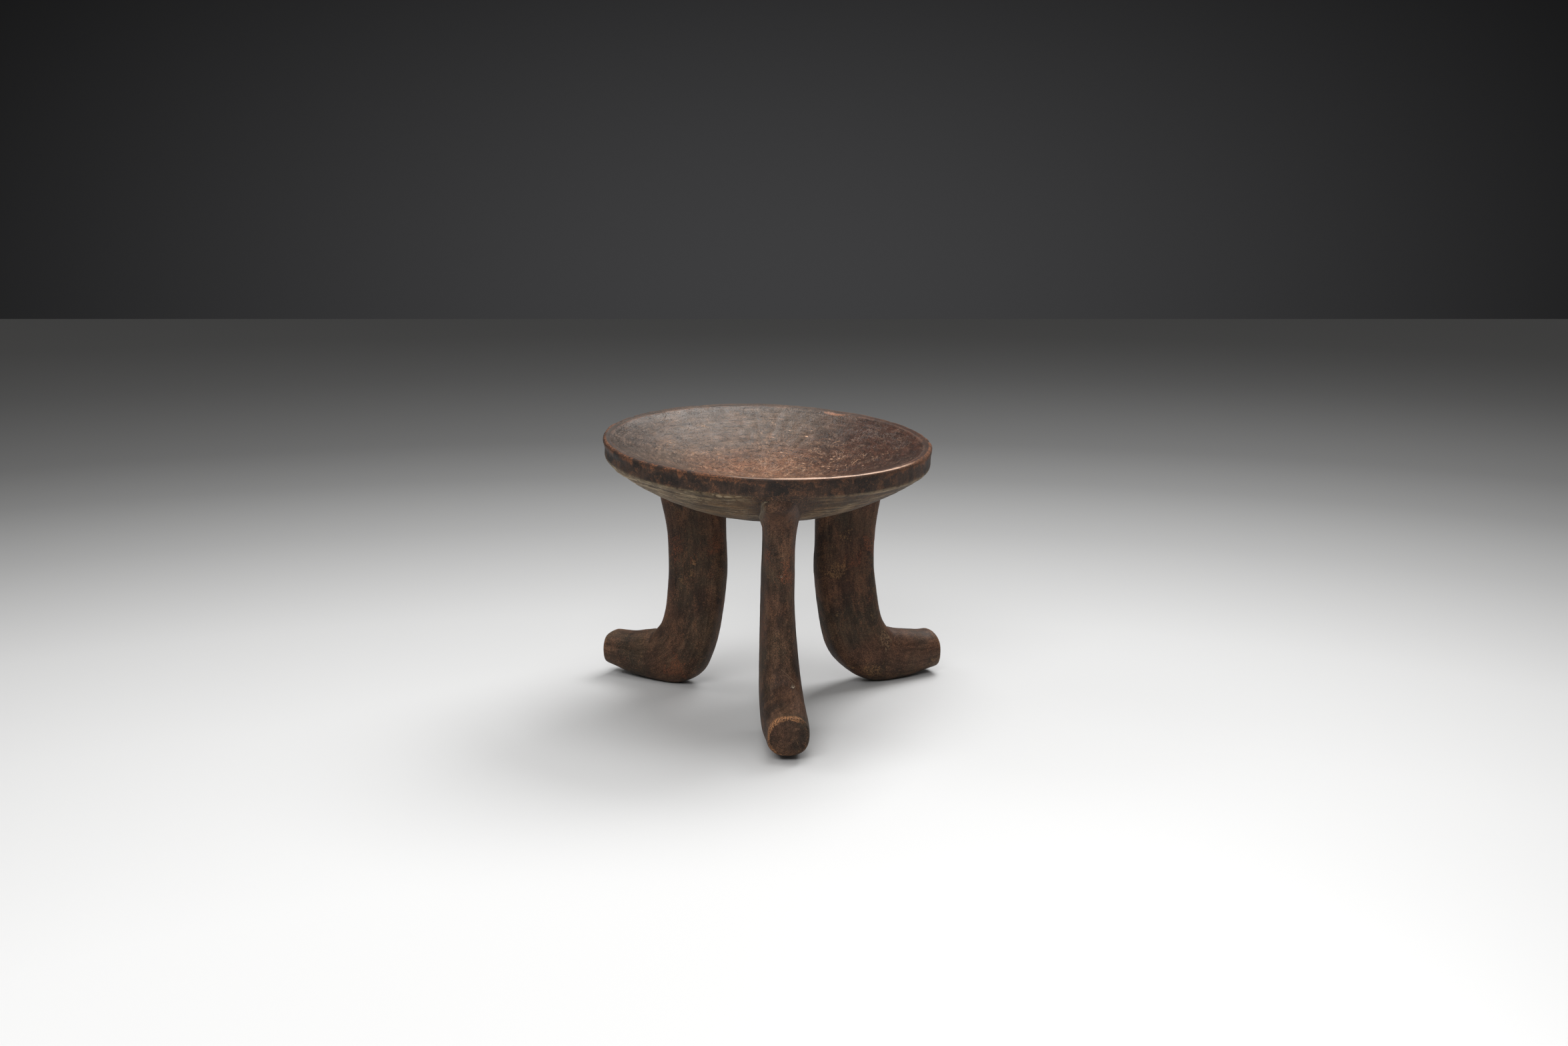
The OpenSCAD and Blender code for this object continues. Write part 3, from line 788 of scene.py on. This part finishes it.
def seat_finish():
    """The seat's wood, with colours of their own for the hollow, the rim, the band and the underside."""
    wood = Finish(bpy.data.materials.new("worn_seat_wood"))
    place = wood.place()
    on_seat = wood.add("ShaderNodeMapping", {"vector_type": "TEXTURE"},
                       {"Vector": place, "Location": RIM_MIDDLE, "Rotation": (LEAN_BACK, LEAN_LEFT, 0)})
    flat = wood.stretch(on_seat, 1, 1, 0)
    x, r = wood.part(on_seat, "X"), wood.vector("LENGTH", flat)
    y, z = x.also("Y"), x.also("Z")
    hollow, lip, under = wood.note("hollow"), wood.note("lip"), wood.note("under")
    ridge, edge, grain = wood.note("ridge"), wood.note("edge"), wood.note("grain", "Vector")

    broad = wood.noise(place, 13, roughness=0.6)
    cloud = wood.noise(place, 36, detail=4, roughness=0.6, distortion=0.3)
    patch = wood.noise(wood.turned(place, shift=3), 90, detail=4, roughness=0.7, distortion=0.4)
    speck = wood.noise(place, 480, roughness=0.7)
    grit = wood.noise(wood.turned(place, shift=2), 1000, detail=2, roughness=0.6)
    streak = wood.noise(grain, 300, detail=4, roughness=0.7)
    hair = wood.noise(grain, 640, roughness=0.7)
    fine = speck * 0.5 + grit * 0.5

    # The hollow: red brown and rubbed in the middle, dark towards the rim, with a grey skin at the far left
    middle = (r + (broad - 0.5) * 0.12).rise(0.16, 0.02)
    skin = (y * 0.75 - x * 0.8 + (broad - 0.5) * 0.12).rise(-0.02, 0.11) * r.rise(0.04, 0.11)
    bowl = wood.layers(
        wood.mix(middle, (45, 29, 20), (100, 70, 52)),
        (cloud.rise(0.48, 0.66) * 0.35, (104, 64, 44)),
        ((x + (broad - 0.5) * 0.1).rise(0, 0.1) * 0.8, (46, 24, 15)),
        (skin * 0.7, (84, 71, 60)),
        ((x + (broad - 0.5) * 0.08).rise(-0.11, -0.16) * 0.6, (52, 44, 40)),
        (cloud.rise(0.5, 0.34) * 0.35, (44, 33, 27)))
    bowl = wood.uneven(bowl, (streak, 3.2), (speck, 2), (grit, 3), (patch, 1.2))
    flecks = fine.rise(0.55, 0.66) * (0.12 + 0.88 * middle)
    worn = sum(wood.scratches(on_seat, *line) for line in WORN_LINES)
    dark = sum([wood.scratches(on_seat, *line) for line in DARK_LINES]
               + [wood.stroke(flat, *mark) for mark in DARK_MARKS])
    fresh = sum(wood.stroke(flat, *mark) for mark in PALE_MARKS)
    bowl = wood.layers(
        bowl, (flecks * 0.42, (172, 122, 88)), (worn * (0.14 + middle * 0.45), (180, 140, 108)),
        (dark * 0.6, (30, 23, 19)), (fresh * 0.6, (190, 150, 118)))
    bowl = wood.spots(bowl, on_seat, patch, fine, SEAT_SPOTS)
    spot = wood.add("ShaderNodeTexVoronoi", {}, {"Vector": wood.stretch(wood.turned(on_seat, 25), 1, 2.2, 1),
                                                 "Scale": 75}, "Distance")
    chosen = wood.add("ShaderNodeSeparateColor", {}, {0: spot.also("Color")}, "Red")
    nicks = spot.rise(0.2, 0.1) * chosen.rise(0.6, 0.66) * r.rise(0.165, 0.12) * patch.rise(0.46, 0.56)
    bowl = wood.mix(nicks * (0.3 + 0.6 * x.rise(-0.04, 0.03)), bowl, (204, 164, 132))

    # The rim: dark with dirt, worn through to orange brown along its edges, polished and painted with a highlight
    # at the near right
    dirt = wood.mix(x.rise(-0.04, 0.06), (40, 28, 21), (52, 36, 27))
    brink = r.rise(0.182, 0.1832) * z.rise(-0.0036, -0.0018)
    near_right = (x * 0.45 - y).rise(0.155, 0.19)
    # A pale painted highlight on the rounded outer edge at the near right, where the wood is also polished smoother
    polish_and_highlight = near_right * r.rise(0.1825, 0.1833) * z.rise(-0.0016, -0.001)
    crumb = fine.rise(0.42, 0.58)
    bare = wood.mix(crumb, (62, 38, 26), (118, 76, 50))
    rubbed = (edge + (patch - 0.5) * 1.6).rise(0.4, 0.8) * 0.6 + brink * patch.rise(0.4, 0.5)
    kept_dirt = 1 - 0.5 * x.rise(-0.05, -0.14) * (1 - brink)
    rim = wood.mix(rubbed * (0.3 + 0.7 * crumb) * (1 - 0.6 * near_right) * kept_dirt,
                   wood.uneven(dirt, (fine, 3)), bare)
    inner = r.rise(0.1832, 0.1816) * (0.65 + 0.25 * near_right)
    # The inner lip takes the hollow's colour with a little painted light at the near right, and the painted
    # highlight goes over it
    rim = wood.layers(
        rim, (inner, wood.mix(0.12 * near_right, bowl, (176, 138, 112))),
        (polish_and_highlight * 0.85, (200, 164, 140)))
    chip = wood.vector("DISTANCE", wood.stretch(wood.turned(flat, 27.5), 1, 5, 1), (0, 0.873, 0))
    chip = (chip + (patch - 0.5) * 0.03).rise(0.018, 0.007) * (0.2 + 0.6 * crumb)

    # The band: almost black brown, peppered with small light points, and orange where the rim has worn
    side = wood.mix(cloud.rise(0.4, 0.62), (32, 25, 21), (58, 43, 34))
    clusters = 0.25 + 0.75 * (patch + x * 0.3).rise(0.42, 0.56)
    pepper = (fine + (patch - 0.5) * 0.3).rise(0.52, 0.68) * clusters
    worn_top = (z + (patch - 0.5) * 0.03).rise(-0.009, -0.001) * (1 - 0.5 * near_right)
    rust = worn_top * (cloud - x * 0.3).rise(0.4, 0.56) * fine.rise(0.4, 0.54)
    side = wood.layers(
        wood.uneven(side, (streak, 2), (grit, 2)),
        (patch.rise(0.48, 0.62) * clusters * 0.45, (92, 62, 43)),
        (pepper * 0.65, (124, 87, 62)), (rust * 0.85, (134, 84, 53)),
        (ridge.rise(0.2, 0.9) * 0.4, (100, 74, 56)))

    # The underside: olive grey brown, with pale edges left by the knife, and dark where the front leg joins it
    below = wood.mix(cloud.rise(0.38, 0.6), (54, 41, 29), (88, 67, 46))
    # Lighter towards the left: painted light
    below = wood.layers(below, ((x + (cloud - 0.5) * 0.3).rise(0, -0.1) * 0.5, (98, 82, 60)))
    at_ends = abs(x).rise(0.07, 0.14)
    pale = (ridge.rise(0, 0.3) * (0.35 + 0.5 * at_ends)
            + hair.rise(0.51, 0.6) * (broad - x * 0.8).rise(0.42, 0.56) * 0.8)
    near_leg = (abs(x - 0.02 + (patch - 0.5) * 0.06).rise(0.05, 0.02)
                * (y + (cloud - 0.5) * 0.05).rise(-0.12, -0.15))
    root = wood.mix(fine.rise(0.5, 0.62), (48, 36, 29), (110, 80, 58))
    below = wood.layers(
        wood.uneven(below, (streak, 4.4), (grit, 2.6), (patch, 1.4)),
        (pale * r.rise(0.09, 0.15) * patch.rise(0.36, 0.5), (158, 141, 113)),
        (fine.rise(0.54, 0.64) * 0.4, (122, 96, 68)),
        (near_leg, wood.uneven(root, (patch, 1.5))))

    # The parts laid together, then painted shade darkening the creases, except by the front leg's root
    tone = wood.layers(
        side, (hollow, bowl), (under, below), (lip, rim), (chip, (162, 112, 84)),
        (ridge.rise(-0.2, -0.9) * (1 - near_leg) * 0.5, (26, 20, 17)))
    roughness = (0.55 + (speck - 0.5) * 0.4 + (streak - 0.5) * 0.2 - hollow * 0.22
                 + lip * (0.14 + 0.25 * x.rise(0.1, 0.16)) - polish_and_highlight * 0.25 + under * 0.12 + worn * 0.1)
    grooves = streak * 0.6 + hair * 0.4 - worn * 0.4 - dark * 0.5 - nicks
    wood.carve(tone, roughness, 0.25, grooves, 0.35, fine)
    return wood.owner


def leg_finish(name, shift, rusty, ringed):
    """A leg's wood. shift starts its noise elsewhere, rusty is how red it is, and ringed how bare its toe's rim."""
    wood = Finish(bpy.data.materials.new("worn_" + name + "_wood"))
    place, straight = wood.place(), wood.note("straight", "Vector")
    ridge, edge, near = wood.note("ridge"), wood.note("edge"), wood.note("near_root")
    along = wood.part(straight, "Z")
    side, across = along.also("X"), along.also("Y")
    shifted = wood.turned(place, shift=shift)
    tall, taller = wood.stretch(place, 1, 1, 0.7), wood.stretch(place, 1, 1, 0.55)
    broad = wood.noise(shifted, 17, roughness=0.6)
    cloud = wood.noise(wood.turned(taller, shift=shift), 44, detail=4, roughness=0.6, distortion=0.3)
    patch = wood.noise(wood.turned(tall, shift=shift + 3), 60, detail=5, roughness=0.7, distortion=0.5)
    speck = wood.noise(shifted, 480, roughness=0.7)
    grit = wood.noise(wood.turned(place, shift=shift + 2), 1000, detail=2, roughness=0.6)
    streak = wood.noise(straight, 200, detail=4, roughness=0.65)
    hair = wood.noise(straight, 560, roughness=0.7)
    fine = speck * 0.5 + grit * 0.5

    # Dark brown, mottled with olive and rust, painted lighter high up against the seat's shade, and peppered with
    # small light points
    tone = wood.layers(
        wood.mix(cloud.rise(0.36, 0.64), (47, 36, 29), (79, 58, 44)),
        (broad.rise(0.47, 0.62) * 0.5, (62, 54, 42)),
        (broad.rise(0.5, 0.36) * rusty * 0.6, (78, 52, 39)))
    tone = wood.uneven(tone, (streak, 2.1), (grit, 3), (hair, 1.6), (patch, 0.9))
    # Painted light: the leg is lighter high up, against the shade under the seat
    tone = wood.bright(tone, 1 + 0.18 * along.rise(0.024, 0.008))
    rust = patch.rise(0.5, 0.62) * fine.rise(0.4, 0.6) * along.rise(0.05, 0.025)
    pepper = fine.rise(0.52, 0.64) * (0.15 + 0.7 * patch.rise(0.42, 0.56))
    tone = wood.layers(tone, (rust * rusty * 0.65, (124, 84, 60)), (pepper * 0.55, (134, 93, 67)))
    tone = wood.spots(tone, place, patch, fine, LEG_SPOTS[name])

    # Rubbed edges, the bare rim of the toe, painted highlights on the left flank and on the edge under the root,
    # and painted shade in creases
    yellow = patch.rise(0.4, 0.33) * fine.rise(0.42, 0.6) * broad.rise(0.42, 0.54)
    rubbed = edge.rise(0.14, 0.5) * cloud.rise(0.42, 0.56) * fine.rise(0.44, 0.58) * along.rise(0.05, 0.045)
    inward = side.rise(0.012, -0.016)
    upper = across.rise(-0.002, 0.016) * side.rise(0.028, 0.008)
    ring = along.rise(0.0478, 0.0495) * (edge + upper * 0.3).rise(0.42, 0.66)
    ring = ring * (cloud + patch + inward * 0.25 + upper * 0.25).rise(0.96, 1.2)
    orange = wood.uneven(colour(150, 106, 72)[:3], (grit, 3.4))
    # A painted highlight on the left flank near the root
    flank_highlight = side.rise(-0.017, -0.0215) * along.rise(0.0125, 0.009)
    # A painted highlight along the edge under the root
    root_edge_highlight = near.rise(0.0003, 0.001) * near.rise(0.0032, 0.0018) * side.rise(-0.015, -0.019)
    tone = wood.layers(
        tone, (yellow * 0.45, (146, 112, 78)), (rubbed * 0.5, (122, 88, 64)),
        (ring * ringed * fine.rise(0.4, 0.58), orange),
        (flank_highlight * (0.2 + 0.8 * hair.rise(0.42, 0.6)) * ringed, (112, 98, 78)),
        (root_edge_highlight * (0.3 + 0.7 * patch.rise(0.36, 0.5)) * ringed * 0.8, (138, 124, 102)),
        # Painted shade darkening the creases
        (ridge.rise(-0.2, -0.9) * 0.5, (26, 20, 17)))
    scored = 0
    if name == "front_leg":
        flat = wood.stretch(place, 1, 0, 1)
        scored = sum(wood.stroke(flat, *mark) for mark in LEG_MARKS)
        tone = wood.mix(scored * 0.4, tone, (140, 120, 98))
    roughness = 0.58 + (speck - 0.5) * 0.4 + (streak - 0.5) * 0.2
    wood.carve(tone, roughness, 0.16, streak * 0.5 + hair * 0.5 - scored * 0.6, 0.3, fine)
    return wood.owner


def dress_seat(seat):
    """Writes down the seat's parts and how its grain runs, and gives the seat its finish."""
    points = np.array([SEAT_PLACE.inverted() @ Vector(p) for p in points_of(seat)])
    hollow, lip, under, band = seat_parts(points)
    r, turn = round_middle(points)
    ring_r = np.where(hollow > 0.5, 22 * MM, 12 * MM)
    ring = np.column_stack([np.cos(turn) * ring_r, np.sin(turn) * ring_r, r])
    upright = np.column_stack([np.cos(turn) * RIM_R, np.sin(turn) * RIM_R, points[:, 2] * BAND_STRETCH])
    write_down(seat, "hollow", hollow)
    write_down(seat, "lip", lip)
    write_down(seat, "under", under)
    write_down(seat, "grain", np.where((band > 0.5)[:, None], upright, ring))
    seat.data.materials[0] = seat_finish()


def dress_leg(leg, name, shift, rusty, ringed):
    """Writes down how a leg's grain runs, and gives the leg its finish."""
    run, side, across = leg_frame(name, points_of(leg))
    write_down(leg, "straight", np.column_stack([side, across, run * LEG_STRETCH]))
    leg.data.materials[0] = leg_finish(name, shift, rusty, ringed)


# ---- floor, light and camera
def set_stage():
    """The pale floor with a painted pool of light, the studio, its lamps and the camera."""
    bpy.ops.mesh.primitive_plane_add(size=FLOOR_SIZE, location=(0, 0, 0))
    floor = bpy.context.object
    floor.name = "floor"
    plain = Finish(bpy.data.materials.new("pale_floor"))
    # The floor's grey fades with distance from the bright spot: a painted pool of light
    away = plain.vector("DISTANCE", plain.place(), PAINTED_LIGHT_SPOT)
    stops = [(at, (grey, grey, grey, 1)) for at, grey in FLOOR_GREYS]
    tone = plain.add("ShaderNodeValToRGB", {"stops": stops}, {0: away / FADE})
    plain.shade(Base_Color=tone, Roughness=0.38, Specular_IOR_Level=0.3)
    floor.data.materials.append(plain.owner)

    # The studio is dark low down and light overhead. The camera sees only its dark wall, painted darker towards the
    # sides and the top as the light falls off.
    studio = Finish(bpy.data.worlds.new("studio"))
    bpy.context.scene.world = studio.owner
    height = studio.part(studio.place("Generated"), "Z")
    lit = (0.06 + 0.94 * abs(height.also("X")).rise(0.62, 0)) * height.rise(0.25, -0.1)
    wall = studio.bright(colour(62, 62, 63)[:3], lit)
    seen = studio.add("ShaderNodeLightPath", {}, {}, "Is Camera Ray")
    light = 0.11 + 0.4 * height.rise(0.4, 0.95)
    studio.shade(Color=studio.mix(seen, (1, 0.99, 0.97, 1), wall), Strength=light + seen * (1 - light))

    for name, place, width, depth, power in LAMPS:
        aim = (LAMPS_AIM - Vector(place)).to_track_quat("-Z", "Y").to_euler()
        bpy.ops.object.light_add(type="AREA", location=place, rotation=aim)
        lamp = bpy.context.object
        lamp.name = name
        lamp.data.shape = "RECTANGLE"
        lamp.data.size, lamp.data.size_y, lamp.data.energy = width, depth, power

    bpy.ops.object.camera_add(location=CAMERA_PLACE, rotation=(math.radians(90 - CAMERA_DOWN), 0, 0))
    camera = bpy.context.object
    camera.data.sensor_width, camera.data.lens = CAMERA_SENSOR, CAMERA_LENS
    bpy.context.scene.camera = camera
    bpy.context.scene.view_settings.view_transform = "Standard"


marks = [bpy.data.materials.new(name) for name in ("seat", *LEG_TURN)]
seat = turn_seat()
carve_seat(seat)
block = join_block(seat, [carve_leg(name) for name in LEG_TURN], marks)
ease_roots(block)
note_wear(block)
pieces = take_apart(block)
dress_seat(pieces["seat"])
for name, look in LEG_LOOK.items():
    dress_leg(pieces[name], name, *look)
for name, piece in pieces.items():
    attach(piece, "root")
    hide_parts(name)
for material in marks:
    bpy.data.materials.remove(material)
set_stage()
